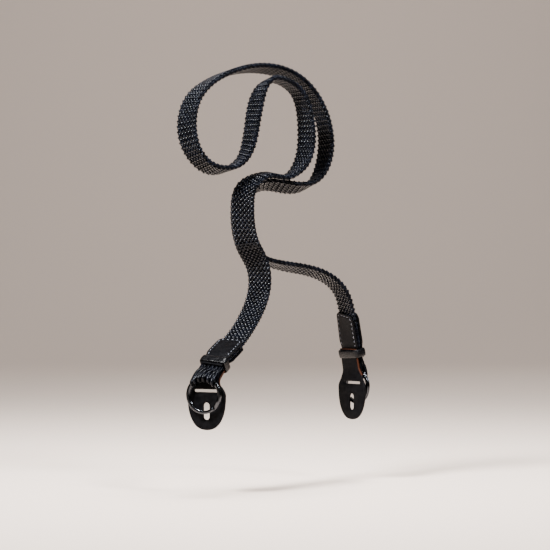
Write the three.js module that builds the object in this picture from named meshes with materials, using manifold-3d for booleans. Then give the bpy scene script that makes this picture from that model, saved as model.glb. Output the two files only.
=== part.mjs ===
// A flat-braided strap that keeps its coiled form between two rings.
// The origin is the lowest point of the left ring. +X runs to the right, +Y away, +Z up. Millimetres.
import * as THREE from 'three';
import { mergeVertices } from 'three/addons/utils/BufferGeometryUtils.js';
import Module from 'manifold-3d';

const manifoldLibrary = await Module();
manifoldLibrary.setup();

// Driving dimensions
const GAP = 0.3;                  // clearance between pieces that touch
const BRAID = { width: 15, thickness: 3.4, sewn: 2.7, folded: 1.6, waist: 14, steps: 260 };
const RING = { outer: 10.3, inner: 8.4, wire: 0.95, split: 0.12, stepsPerTurn: 28, cornerCut: 0.25 };
const LEATHER = { halfWidth: 7.6, thickness: 1.0, end: 35, cornerRadius: 3.8, belowKeeper: 3.2, steps: 26 };
const KEEPER = { width: 4.6, wall: 0.9, corner: 1.6 };
const NECK = { width: 14.6, wall: 1.5, legFrom: 6.2, aboveKeeper: 2.6 };
const GUARD = {
  thickness: 1.3, halfWidth: 11.4, widestAt: 10, shoulder: 9.2, bottom: -8.9, flatTop: 14.5, fullness: 2.34, steps: 22,
  slit: { width: 14.5, height: 1.5, at: 12.5 },
  slot: { width: 3.6, height: 9.4, at: 1.4 },
  tongue: { halfWidth: 6.9, aboveKeeper: 3.0, steps: 16 },
};

// Each ring's lowest point, the angle of its width from +X towards the viewer, and how far up its keeper sits
const LEFT_END = { name: 'left', x: 0, y: 0, z: 0, facing: 24, keeperAt: 12 };
const RIGHT_END = { name: 'right', x: 86, y: 91, z: 0, facing: 50, keeperAt: 10.4 };

// Centre line of the braid from the top of one ring's wire to the top of the other's.
// turn: degrees that the braid's left edge, in the direction of travel, leans towards the viewer.
const ROUTE = [
  // out of the left ring, leaning back, and up to the crossing
  { x: 0.0, y: 0.0, z: 19.6, turn: -40 },
  { x: 5.7, y: 7.0, z: 27.5, turn: -43 },
  { x: 15.0, y: 25.0, z: 37.5, turn: -45 },
  { x: 22.5, y: 37.0, z: 48.0, turn: -42 },
  { x: 30.0, y: 44.0, z: 70.5, turn: -32 },
  { x: 28.5, y: 41.0, z: 81.0, turn: -29 },
  { x: 23.5, y: 34.0, z: 91.5, turn: -27 },
  // the small curl to the right
  { x: 20.5, y: 28.0, z: 113.0, turn: -29 },
  { x: 22.0, y: 27.0, z: 121.5, turn: -38 },
  { x: 27.0, y: 27.5, z: 127.5, turn: -62 },
  { x: 35.0, y: 31.0, z: 130.5, turn: -84 },
  { x: 44.5, y: 36.0, z: 129.5, turn: -86 },
  // up the inner turn, over its top and down its left side
  { x: 51.5, y: 40.5, z: 134.5, turn: -66 },
  { x: 56.0, y: 43.0, z: 158.5, turn: -53 },
  { x: 49.5, y: 39.0, z: 178.5, turn: -70 },
  { x: 43.5, y: 36.0, z: 182.5, turn: -79 },
  { x: 37.0, y: 33.0, z: 183.5, turn: -89 },
  { x: 32.5, y: 31.0, z: 180.5, turn: -105 },
  { x: 28.5, y: 29.0, z: 172.0, turn: -121 },
  { x: 26.0, y: 28.0, z: 158.5, turn: -121 },
  { x: 24.0, y: 27.5, z: 147.5, turn: -118 },
  // round the left turn
  { x: 19.5, y: 27.0, z: 138.0, turn: -107 },
  { x: 12.0, y: 24.0, z: 133.5, turn: -90 },
  { x: 3.5, y: 19.5, z: 133.5, turn: -68 },
  { x: -4.5, y: 16.0, z: 140.0, turn: -55 },
  { x: -9.0, y: 15.0, z: 150.5, turn: -46 },
  { x: -5.5, y: 20.0, z: 173.5, turn: -58 },
  // over the top of the outer turn and down its right side
  { x: 1.0, y: 24.5, z: 180.5, turn: -72 },
  { x: 12.5, y: 31.5, z: 187.0, turn: -85 },
  { x: 39.5, y: 46.0, z: 189.5, turn: -107 },
  { x: 52.5, y: 52.0, z: 183.5, turn: -111 },
  { x: 67.0, y: 59.5, z: 156.0, turn: -121 },
  { x: 66.0, y: 58.0, z: 138.5, turn: -120 },
  // back under the curl and down behind the rise
  { x: 60.0, y: 54.0, z: 127.5, turn: -99 },
  { x: 51.0, y: 50.0, z: 124.0, turn: -73 },
  { x: 29.5, y: 45.0, z: 124.8, turn: -76 },
  { x: 22.5, y: 44.0, z: 118.5, turn: -88 },
  { x: 22.5, y: 47.5, z: 94.0, turn: -98 },
  // out to the right and down to the right ring
  { x: 30.0, y: 52.5, z: 85.0, turn: -102 },
  { x: 41.5, y: 59.0, z: 80.5, turn: -106 },
  { x: 66.5, y: 72.5, z: 74.0, turn: -112 },
  { x: 76.0, y: 79.0, z: 65.5, turn: -117 },
  { x: 79.9, y: 84.0, z: 54.0, turn: -122 },
  { x: 83.8, y: 90.5, z: 29.5, turn: -129 },
  { x: 86.0, y: 91.0, z: 19.6, turn: -131 },
];

const VIEW = new THREE.Vector3(0, 1, 0);
const UP = new THREE.Vector3(0, 0, 1);

// A natural cubic spline through the rows of a table, measured by its true length.
class Route {
  constructor(rows, samplesPerRow = 40) {
    const points = rows.map((row) => new THREE.Vector3(row.x, row.y, row.z));
    this.spans = points.slice(1).map((point, i) => point.distanceTo(points[i]));
    this.columns = ['x', 'y', 'z', 'turn'].map((key) => rows.map((row) => row[key]));
    this.bends = this.columns.map((values) => this.secondDerivatives(values));
    this.samples = [];
    this.lengths = [0];
    for (let span = 0; span < this.spans.length; span += 1) {
      for (let i = 0; i < samplesPerRow; i += 1) this.samples.push(this.rowAt(span, i / samplesPerRow));
    }
    this.samples.push(this.rowAt(this.spans.length - 1, 1));
    for (let i = 1; i < this.samples.length; i += 1) {
      this.lengths.push(this.lengths[i - 1] + this.samples[i].point.distanceTo(this.samples[i - 1].point));
    }
    this.length = this.lengths[this.lengths.length - 1];
  }

  // The spline's second derivative at each row, zero at both ends (Thomas algorithm)
  secondDerivatives(values) {
    const h = this.spans;
    const slope = h.map((span, i) => (values[i + 1] - values[i]) / span);
    const second = new Array(values.length).fill(0);
    const ratio = new Array(values.length).fill(0);
    for (let i = 1; i < values.length - 1; i += 1) {
      const pivot = 2 * (h[i - 1] + h[i]) - h[i - 1] * ratio[i - 1];
      ratio[i] = h[i] / pivot;
      second[i] = (6 * (slope[i] - slope[i - 1]) - h[i - 1] * second[i - 1]) / pivot;
    }
    for (let i = values.length - 2; i > 0; i -= 1) second[i] -= ratio[i] * second[i + 1];
    return second;
  }

  rowAt(span, t) {
    const u = 1 - t;
    const bendScale = this.spans[span] ** 2 / 6;
    const [x, y, z, turn] = this.columns.map((values, column) => {
      const bend = this.bends[column];
      const curved = (u ** 3 - u) * bend[span] + (t ** 3 - t) * bend[span + 1];
      return u * values[span] + t * values[span + 1] + bendScale * curved;
    });
    return { point: new THREE.Vector3(x, y, z), turn };
  }

  sampleAt(distance) {
    const last = this.samples.length - 1;
    let low = 0;
    let high = last;
    while (high - low > 1) {
      const middle = (low + high) >> 1;
      if (this.lengths[middle] <= distance) low = middle;
      else high = middle;
    }
    const share = (distance - this.lengths[low]) / (this.lengths[high] - this.lengths[low]);
    return {
      point: this.samples[low].point.clone().lerp(this.samples[high].point, share),
      turn: THREE.MathUtils.lerp(this.samples[low].turn, this.samples[high].turn, share),
    };
  }

  // Position and three directions at a distance from the left ring: along, across the width, out of the face
  frame(distance) {
    const inside = THREE.MathUtils.clamp(distance, 0, this.length);
    const step = 0.5;
    const from = this.sampleAt(Math.max(inside - step, 0)).point;
    const to = this.sampleAt(Math.min(inside + step, this.length)).point;
    const along = to.sub(from).normalize();
    const here = this.sampleAt(inside);
    const level = along.clone().cross(VIEW).normalize();
    const facing = along.clone().cross(level);
    const turn = THREE.MathUtils.degToRad(here.turn);
    const across = level.multiplyScalar(Math.cos(turn)).addScaledVector(facing, Math.sin(turn));
    const out = along.clone().cross(across);
    const origin = here.point.addScaledVector(along, distance - inside);
    return { origin, along, across, out };
  }
}

const route = new Route(ROUTE);

// The same at a distance from either ring, with along pointing away from that ring
function endFrame(end, distance) {
  if (end === LEFT_END) return route.frame(distance);
  const { origin, along, across, out } = route.frame(route.length - distance);
  return { origin, along: along.negate(), across: across.negate(), out };
}

// A ring's own directions: across its width, towards the carried body, and up
function ringFrame(end) {
  const angle = THREE.MathUtils.degToRad(end.facing);
  const across = new THREE.Vector3(Math.cos(angle), -Math.sin(angle), 0);
  if (end === RIGHT_END) across.negate();
  return { origin: new THREE.Vector3(end.x, end.y, end.z), across, inward: UP.clone().cross(across) };
}

function smooth(low, high, value) {
  return THREE.MathUtils.smoothstep(value, low, high);
}

// Moves every vertex of a geometry by a function from local to model coordinates.
function mapped(geometry, place) {
  const position = geometry.attributes.position;
  const vertex = new THREE.Vector3();
  for (let i = 0; i < position.count; i += 1) {
    vertex.fromBufferAttribute(position, i);
    const moved = place(vertex.x, vertex.y, vertex.z);
    position.setXYZ(i, moved.x, moved.y, moved.z);
  }
  geometry.deleteAttribute('uv');
  geometry.deleteAttribute('normal');
  return mergeVertices(geometry, 1e-4);
}

function at(frame, x, y, z = 0) {
  return frame.origin.clone()
    .addScaledVector(frame.across, x)
    .addScaledVector(frame.out, y)
    .addScaledVector(frame.along, z);
}

// A rectangle centred on the origin, its corners rounded by short straight pieces
function roundedRectangle(halfWidth, halfHeight, radius, cornerSteps) {
  const points = [];
  const corners = [[1, 1, 0], [-1, 1, 90], [-1, -1, 180], [1, -1, 270]];
  for (const [sideX, sideY, start] of corners) {
    for (let i = 0; i <= cornerSteps; i += 1) {
      const angle = THREE.MathUtils.degToRad(start + (90 * i) / cornerSteps);
      points.push(new THREE.Vector2(
        sideX * (halfWidth - radius) + radius * Math.cos(angle),
        sideY * (halfHeight - radius) + radius * Math.sin(angle),
      ));
    }
  }
  return points;
}

function extruded(shape, depth, steps = 1) {
  return new THREE.ExtrudeGeometry(shape, { depth, steps, bevelEnabled: false, curveSegments: 10 });
}

function solid(geometry) {
  const merged = geometry.index ? geometry : mergeVertices(geometry, 1e-4);
  return new manifoldLibrary.Manifold(new manifoldLibrary.Mesh({
    numProp: 3,
    vertProperties: new Float32Array(merged.attributes.position.array),
    triVerts: new Uint32Array(merged.index.array),
  }));
}

function toGeometry(manifold) {
  const mesh = manifold.getMesh();
  const geometry = new THREE.BufferGeometry();
  geometry.setAttribute('position', new THREE.BufferAttribute(mesh.vertProperties, 3));
  geometry.setIndex(new THREE.BufferAttribute(mesh.triVerts, 1));
  return geometry;
}

// Half thickness and half width of the braid at a distance from its nearer ring: pressed and narrowed in the tab
function braidHalfThickness(end, distance) {
  const aboveKeeper = distance - end.keeperAt;
  const sewn = THREE.MathUtils.lerp(BRAID.folded, BRAID.sewn, smooth(2, 8, aboveKeeper));
  return THREE.MathUtils.lerp(sewn, BRAID.thickness, smooth(LEATHER.end - 5, LEATHER.end + 4, distance)) / 2;
}

function braidHalfWidth(end, distance) {
  return THREE.MathUtils.lerp(BRAID.waist, BRAID.width, smooth(3, 9, distance - end.keeperAt)) / 2;
}

function braidedStrap() {
  const cornerRadius = BRAID.thickness / 2;
  const flatHalf = BRAID.width / 2 - cornerRadius;
  const section = new THREE.Shape(roundedRectangle(BRAID.width / 2, cornerRadius, cornerRadius, 2));
  const start = LEFT_END.keeperAt + NECK.aboveKeeper + GAP;
  const finish = route.length - RIGHT_END.keeperAt - NECK.aboveKeeper - GAP;
  return mapped(extruded(section, 1, BRAID.steps), (x, y, z) => {
    const distance = THREE.MathUtils.lerp(start, finish, z);
    const end = distance < route.length / 2 ? LEFT_END : RIGHT_END;
    const fromRing = end === LEFT_END ? distance : route.length - distance;
    const half = braidHalfThickness(end, fromRing);
    const rounded = (Math.abs(x) - flatHalf) * (half / cornerRadius);
    const reach = braidHalfWidth(end, fromRing) - half + rounded;
    return at(route.frame(distance), Math.sign(x) * reach, y * (half / cornerRadius));
  });
}

// Half width of the tab's leather at a distance from the ring: a waist under the keeper, then a rounded end
function leatherHalfWidth(end, distance) {
  const flared = THREE.MathUtils.lerp(BRAID.waist / 2, LEATHER.halfWidth, smooth(2.5, 7.5, distance - end.keeperAt));
  const intoCorner = Math.max(0, distance - (LEATHER.end - LEATHER.cornerRadius)) / LEATHER.cornerRadius;
  return flared - LEATHER.cornerRadius * (1 - Math.sqrt(Math.max(0, 1 - intoCorner ** 2)));
}

function tabLeather(end, side) {
  const from = end.keeperAt - LEATHER.belowKeeper;
  const section = new THREE.Shape(roundedRectangle(1, 0.5, 0.05, 1));
  return mapped(extruded(section, 1, LEATHER.steps), (x, y, z) => {
    const distance = LEATHER.end - (LEATHER.end - from) * (1 - z) ** 1.6;
    const layer = braidHalfThickness(end, distance) + GAP + LEATHER.thickness / 2;
    const across = x * leatherHalfWidth(end, distance);
    return at(endFrame(end, distance), across, side * layer + y * LEATHER.thickness);
  });
}

// A band round the waist: outer leather, neck, inner leather and the guard's tongue pass through it
function keeper(end) {
  const outerFace = BRAID.folded / 2 + GAP + LEATHER.thickness + GAP;
  const innerFace = outerFace + GUARD.thickness + GAP;
  const halfWidth = BRAID.waist / 2 + GAP;
  const halfHeight = (outerFace + innerFace) / 2;
  const middle = (outerFace - innerFace) / 2;
  const shape = new THREE.Shape(
    roundedRectangle(halfWidth + KEEPER.wall, halfHeight + KEEPER.wall, KEEPER.corner, 3),
  );
  shape.holes.push(new THREE.Path(roundedRectangle(halfWidth, halfHeight, 0.4, 1)));
  const frame = endFrame(end, end.keeperAt);
  return mapped(
    extruded(shape, KEEPER.width),
    (x, y, z) => at(frame, x, y + middle, z - KEEPER.width / 2),
  );
}

// The split ring: two flat turns of square-edged wire with one step between them
function splitRing(end) {
  const { origin, across, inward } = ringFrame(end);
  const meanRadius = (RING.outer + RING.inner) / 2;
  const halfRadial = (RING.outer - RING.inner) / 2;
  const turnOffset = (RING.wire + RING.split) / 2;
  const opening = THREE.MathUtils.degToRad(16);
  const splitAt = THREE.MathUtils.degToRad(-35);
  const sweep = 4 * Math.PI - 2 * opening;
  const section = new THREE.Shape(roundedRectangle(halfRadial, RING.wire / 2, RING.cornerCut, 1));
  return mapped(extruded(section, 1, 2 * RING.stepsPerTurn), (x, y, z) => {
    const turned = opening + z * sweep;
    const step = smooth(2 * Math.PI - opening * 0.8, 2 * Math.PI + opening * 0.8, turned);
    const axial = THREE.MathUtils.lerp(-turnOffset, turnOffset, step) + y;
    const angle = splitAt + turned;
    const radius = meanRadius - x;
    return origin.clone()
      .addScaledVector(across, radius * Math.cos(angle))
      .addScaledVector(UP, RING.outer + radius * Math.sin(angle))
      .addScaledVector(inward, -axial);
  });
}

// The room that the ring's wire takes, with its clearance
function ringChannel(end) {
  const { origin, across, inward } = ringFrame(end);
  const inner = RING.inner - GAP;
  const outer = RING.outer + GAP;
  const half = RING.wire + RING.split / 2 + GAP;
  const profile = [[inner, -half], [outer, -half], [outer, half], [inner, half], [inner, -half]];
  const lathe = new THREE.LatheGeometry(profile.map(([x, y]) => new THREE.Vector2(x, y)), 48);
  return mapped(lathe, (x, y, z) => origin.clone()
    .addScaledVector(across, x)
    .addScaledVector(UP, RING.outer + z)
    .addScaledVector(inward, y));
}

// Directions for the fold: square to the ring's wire at its top, the route's own a little way up
function foldFrame(end, distance) {
  const ring = ringFrame(end);
  const { origin, along, across, out } = endFrame(end, distance);
  const level = ring.across.clone().negate();
  const free = smooth(0, 6, distance);
  const wide = level.lerp(across, free).normalize();
  const up = along.clone().addScaledVector(wide, -along.dot(wide)).normalize();
  return { origin, along: up, across: wide, out: up.clone().cross(wide) };
}

// The end of the braid folded round the ring: a drop-shaped loop that follows the wire's curve, cut clear of it
function neck(end) {
  const fold = RING.wire + GAP + NECK.wall;
  const leg = BRAID.folded / 2;
  const top = end.keeperAt + NECK.aboveKeeper;
  const wireRadius = (RING.outer + RING.inner) / 2;
  const shape = new THREE.Shape();
  shape.moveTo(leg, top);
  shape.lineTo(leg, NECK.legFrom);
  shape.bezierCurveTo(leg, 4.2, fold, 3.4, fold, 0);
  shape.absarc(0, 0, fold, 0, -Math.PI, true);
  shape.bezierCurveTo(-fold, 3.4, -leg, 4.2, -leg, NECK.legFrom);
  shape.lineTo(-leg, top);
  shape.closePath();
  const body = mapped(extruded(shape, 1, 10), (x, y, z) => {
    const half = THREE.MathUtils.lerp(NECK.width, BRAID.waist, smooth(1, 6, y)) / 2;
    const wide = (2 * z - 1) * half;
    const drop = (wireRadius - Math.sqrt(wireRadius ** 2 - wide ** 2)) * (1 - smooth(-1, 6, y));
    return at(foldFrame(end, y), wide, x).addScaledVector(UP, -drop);
  });
  return toGeometry(solid(body).subtract(solid(ringChannel(end))));
}

// The leather shield behind the ring, with its slit and slot
function shield(end) {
  const { origin, across, inward } = ringFrame(end);
  const outline = [];
  for (let i = 0; i <= GUARD.steps; i += 1) {
    const angle = Math.PI * (1 + i / GUARD.steps);
    const power = 2 / GUARD.fullness;
    outline.push(new THREE.Vector2(
      GUARD.halfWidth * Math.sign(Math.cos(angle)) * Math.abs(Math.cos(angle)) ** power,
      GUARD.widestAt - (GUARD.widestAt - GUARD.bottom) * Math.abs(Math.sin(angle)) ** power,
    ));
  }
  const shoulder = [0.35, 0.7, 1].map((share) => new THREE.Vector2(
    GUARD.halfWidth - (GUARD.halfWidth - GUARD.shoulder) * share ** 1.6,
    THREE.MathUtils.lerp(GUARD.widestAt, GUARD.flatTop, share),
  ));
  outline.push(...shoulder, ...shoulder.reverse().map((point) => new THREE.Vector2(-point.x, point.y)));
  const shape = new THREE.Shape(outline);
  for (const hole of [GUARD.slit, GUARD.slot]) {
    const radius = Math.min(hole.width, hole.height) / 2 - 0.05;
    const points = roundedRectangle(hole.width / 2, hole.height / 2, radius, 4);
    shape.holes.push(new THREE.Path(points.map((point) => new THREE.Vector2(point.x, point.y + hole.at))));
  }
  return mapped(extruded(shape, GUARD.thickness), (x, y, z) => origin.clone()
    .addScaledVector(across, x)
    .addScaledVector(UP, y)
    .addScaledVector(inward, guardDepth() + GUARD.thickness / 2 - z));
}

// How far behind the ring the middle of the guard's leather lies
function guardDepth() {
  return RING.wire + GAP + NECK.wall + GAP + GUARD.thickness / 2;
}

// The guard narrows above the ring into a tongue that bends with the neck and passes under the keeper
function guard(end) {
  const { origin, across, inward } = ringFrame(end);
  const top = endFrame(end, end.keeperAt + GUARD.tongue.aboveKeeper);
  const layer = BRAID.folded / 2 + 2 * GAP + LEATHER.thickness + GUARD.thickness / 2;
  const overlap = 0.2;
  const start = origin.clone()
    .addScaledVector(UP, GUARD.flatTop - overlap)
    .addScaledVector(inward, guardDepth());
  const finish = at(top, 0, -layer);
  const path = new THREE.CubicBezierCurve3(
    start,
    start.clone().addScaledVector(UP, 3),
    finish.clone().addScaledVector(top.along, -9),
    finish,
  );
  const section = new THREE.Shape(roundedRectangle(1, GUARD.thickness / 2, 0.04, 1));
  const tongue = mapped(extruded(section, 1, GUARD.tongue.steps), (x, y, z) => {
    const along = path.getTangentAt(z);
    const wide = across.clone().negate().lerp(top.across, smooth(0.1, 0.9, z));
    wide.addScaledVector(along, -wide.dot(along)).normalize();
    const half = THREE.MathUtils.lerp(GUARD.shoulder, GUARD.tongue.halfWidth, smooth(0, 0.36, z));
    return path.getPointAt(z).addScaledVector(wide, x * half).addScaledVector(along.cross(wide), y);
  });
  return toGeometry(solid(shield(end)).add(solid(tongue)));
}

const FINISH = {
  braid: { color: '#2b2e33', roughness: 0.75, metalness: 0 },
  leather: { color: '#1d1c1c', roughness: 0.45, metalness: 0 },
  ring: { color: '#5a5c60', roughness: 0.25, metalness: 1 },
};

const strap = new THREE.Group();

function addPiece(name, geometry, finish) {
  geometry.computeVertexNormals();
  const mesh = new THREE.Mesh(geometry, new THREE.MeshStandardMaterial(finish));
  mesh.name = name;
  strap.add(mesh);
}

addPiece('braided_strap', braidedStrap(), FINISH.braid);
for (const end of [LEFT_END, RIGHT_END]) {
  addPiece(`${end.name}_outer_leather`, tabLeather(end, 1), FINISH.leather);
  addPiece(`${end.name}_inner_leather`, tabLeather(end, -1), FINISH.leather);
  addPiece(`${end.name}_keeper`, keeper(end), FINISH.leather);
  addPiece(`${end.name}_neck`, neck(end), FINISH.braid);
  addPiece(`${end.name}_split_ring`, splitRing(end), FINISH.ring);
  addPiece(`${end.name}_guard`, guard(end), FINISH.leather);
}

export default strap;
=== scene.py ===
"""Looks of a black flat-braided camera strap that keeps its coiled form between two split rings.

One route, in millimetres, runs from the top of the left ring's wire to the top of the right one's.
The braid, the folded necks, the tab leathers, keepers, guards and stitches are all laid along it.
"""

import logging
import math
from collections.abc import Callable, Sequence
from dataclasses import dataclass, field
from enum import Enum
from functools import cached_property

import bmesh
import bpy
import numpy as np
from mathutils import Matrix


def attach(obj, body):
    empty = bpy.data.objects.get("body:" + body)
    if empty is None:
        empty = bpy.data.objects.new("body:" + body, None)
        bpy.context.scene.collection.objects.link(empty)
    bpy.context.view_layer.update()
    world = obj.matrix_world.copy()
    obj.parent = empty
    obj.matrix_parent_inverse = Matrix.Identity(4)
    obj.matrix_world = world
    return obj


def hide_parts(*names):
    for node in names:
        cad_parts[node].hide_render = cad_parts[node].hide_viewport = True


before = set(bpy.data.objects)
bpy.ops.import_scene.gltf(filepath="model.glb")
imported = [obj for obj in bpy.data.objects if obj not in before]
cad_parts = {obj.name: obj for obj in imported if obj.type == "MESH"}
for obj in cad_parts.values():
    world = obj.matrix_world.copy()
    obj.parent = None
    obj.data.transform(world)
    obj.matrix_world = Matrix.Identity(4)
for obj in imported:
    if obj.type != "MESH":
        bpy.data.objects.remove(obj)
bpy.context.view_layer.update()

logging.basicConfig(level=logging.INFO, format="%(levelname)s %(message)s")
LOG = logging.getLogger("strap")

Array = np.ndarray
MM = 0.001


class End(Enum):
    """The strap's two ends."""

    LEFT = "left"
    RIGHT = "right"


class Face(Enum):
    """A leather's place on the braid: OUTER shows away from the carried body, INNER towards it."""

    OUTER = 1
    INNER = -1


# Sizes


@dataclass(frozen=True)
class BraidSizes:
    """Outer sizes of the braid, in millimetres.

    It swells and widens between two heights above the keeper, and opens about the leathers' end.
    """

    width: float = 15.0
    thickness: float = 3.4
    sewn: float = 2.7
    folded: float = 1.6
    waist: float = 14.0
    swells: tuple[float, float] = (2.0, 8.0)
    widens: tuple[float, float] = (3.0, 9.0)
    opens: tuple[float, float] = (-5.0, 4.0)


@dataclass(frozen=True)
class RingSizes:
    """Sizes of a split ring, in millimetres."""

    outer: float = 10.3
    inner: float = 8.4
    wire: float = 0.95
    split: float = 0.12

    @property
    def mean(self) -> float:
        """Radius of the wire's middle."""
        return (self.outer + self.inner) / 2


@dataclass(frozen=True)
class LeatherSizes:
    """Sizes of a tab's leathers and of the keeper round them, in millimetres."""

    half_width: float = 7.6
    thickness: float = 1.0
    end: float = 35.0
    corner: float = 3.8
    below_keeper: float = 3.2
    keeper_width: float = 4.6
    keeper_wall: float = 0.9
    stitch_inset: float = 1.5
    stitch_pitch: float = 2.9
    flares: tuple[float, float] = (2.5, 7.5)


@dataclass(frozen=True)
class NeckSizes:
    """Sizes of the braid's folded end, in millimetres."""

    width: float = 14.6
    wall: float = 1.5
    leg_from: float = 6.2
    above_keeper: float = 2.6
    square_for: float = 6.0


@dataclass(frozen=True)
class GuardSizes:
    """Sizes of a leather guard, in millimetres; heights are above the ring's lowest point."""

    thickness: float = 1.3
    half_width: float = 11.4
    widest_at: float = 10.0
    shoulder: float = 9.2
    bottom: float = -8.9
    flat_top: float = 14.5
    fullness: float = 2.34
    slit: tuple[float, float, float] = (14.5, 1.5, 12.5)
    slot: tuple[float, float, float] = (3.6, 9.4, 1.4)
    tongue_half_width: float = 6.9
    tongue_above_keeper: float = 3.0


GAP = 0.3
PROBE = 0.05  # how far out a second point is taken to find the direction out of the braid
BRAID = BraidSizes()
RING = RingSizes()
LEATHER = LeatherSizes()
NECK = NeckSizes()
GUARD = GuardSizes()
UP = np.array([0.0, 0.0, 1.0])
VIEW = np.array([0.0, 1.0, 0.0])


@dataclass(frozen=True)
class Row:
    """A place on the route in millimetres, and the left edge's lean to the viewer in degrees."""

    x: float
    y: float
    z: float
    turn: float


ROUTE_ROWS = (
    # out of the left ring, leaning back, and up to the crossing
    Row(0.0, 0.0, 19.6, -40),
    Row(5.7, 7.0, 27.5, -43),
    Row(15.0, 25.0, 37.5, -45),
    Row(22.5, 37.0, 48.0, -42),
    Row(30.0, 44.0, 70.5, -32),
    Row(28.5, 41.0, 81.0, -29),
    Row(23.5, 34.0, 91.5, -27),
    # the small curl to the right
    Row(20.5, 28.0, 113.0, -29),
    Row(22.0, 27.0, 121.5, -38),
    Row(27.0, 27.5, 127.5, -62),
    Row(35.0, 31.0, 130.5, -84),
    Row(44.5, 36.0, 129.5, -86),
    # up the inner turn, over its top and down its left side
    Row(51.5, 40.5, 134.5, -66),
    Row(56.0, 43.0, 158.5, -53),
    Row(49.5, 39.0, 178.5, -70),
    Row(43.5, 36.0, 182.5, -79),
    Row(37.0, 33.0, 183.5, -89),
    Row(32.5, 31.0, 180.5, -105),
    Row(28.5, 29.0, 172.0, -121),
    Row(26.0, 28.0, 158.5, -121),
    Row(24.0, 27.5, 147.5, -118),
    # round the left turn
    Row(19.5, 27.0, 138.0, -107),
    Row(12.0, 24.0, 133.5, -90),
    Row(3.5, 19.5, 133.5, -68),
    Row(-4.5, 16.0, 140.0, -55),
    Row(-9.0, 15.0, 150.5, -46),
    Row(-5.5, 20.0, 173.5, -58),
    # over the top of the outer turn and down its right side
    Row(1.0, 24.5, 180.5, -72),
    Row(12.5, 31.5, 187.0, -85),
    Row(39.5, 46.0, 189.5, -107),
    Row(52.5, 52.0, 183.5, -111),
    Row(67.0, 59.5, 156.0, -121),
    Row(66.0, 58.0, 138.5, -120),
    # back under the curl and down behind the rise
    Row(60.0, 54.0, 127.5, -99),
    Row(51.0, 50.0, 124.0, -73),
    Row(29.5, 45.0, 124.8, -76),
    Row(22.5, 44.0, 118.5, -88),
    Row(22.5, 47.5, 94.0, -98),
    # out to the right and down to the right ring
    Row(30.0, 52.5, 85.0, -102),
    Row(41.5, 59.0, 80.5, -106),
    Row(66.5, 72.5, 74.0, -112),
    Row(76.0, 79.0, 65.5, -117),
    Row(79.9, 84.0, 54.0, -122),
    Row(83.8, 90.5, 29.5, -129),
    Row(86.0, 91.0, 19.6, -131),
)


def smooth(low: float, high: float, value: Array) -> Array:
    """A soft step: 3t^2 - 2t^3 of the share t, held in 0 to 1, that value has gone from low to high."""
    t = np.clip((np.asarray(value, float) - low) / (high - low), 0, 1)
    return t * t * (3 - 2 * t)


def mix(a: float, b: float, share: Array) -> Array:
    """A straight blend, a + (b - a) * share."""
    return a + (b - a) * share


def unit(vectors: Array) -> Array:
    """The same directions with length 1, v / |v| along the last axis."""
    return vectors / np.linalg.norm(vectors, axis=-1, keepdims=True)


def squared(value: Array, power: float) -> Array:
    """A sine or cosine drawn out towards a square wave, sign(v) |v|^power."""
    return np.sign(value) * np.abs(value) ** power


def run_length(line: Array) -> Array:
    """The length from a line's first point to each of its points."""
    return np.concatenate([[0.0], np.cumsum(np.linalg.norm(np.diff(line, axis=0), axis=1))])


def read(line: Array, length: Array, at: Array) -> Array:
    """A line's columns at given lengths, taken straight between its points."""
    return np.stack([np.interp(at, length, column) for column in line.T], -1)


def bezier(corners: Sequence[Array], count: int) -> Array:
    """A cubic curve through count places.

    Args:
        corners: Its two ends and, between them, the two points that it leans to.
        count: Number of places.

    Returns:
        Rows of u^3 a + 3 u^2 t b + 3 u t^2 c + t^3 d, where t runs from 0 to 1 and u is 1 - t.
    """
    t = np.linspace(0, 1, count)[:, None]
    u = 1 - t
    a, b, c, d = corners
    return u**3 * a + 3 * u * u * t * b + 3 * u * t * t * c + t**3 * d


@dataclass(frozen=True)
class Frames:
    """Places and three square directions, one row of three numbers for each distance."""

    origin: Array
    along: Array
    across: Array
    out: Array

    def at(self, wide: Array, high: Array) -> Array:
        """Points origin + wide * across + high * out, for arrays whose last axis is the distances."""
        return self.origin + wide[..., None] * self.across + high[..., None] * self.out


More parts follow.
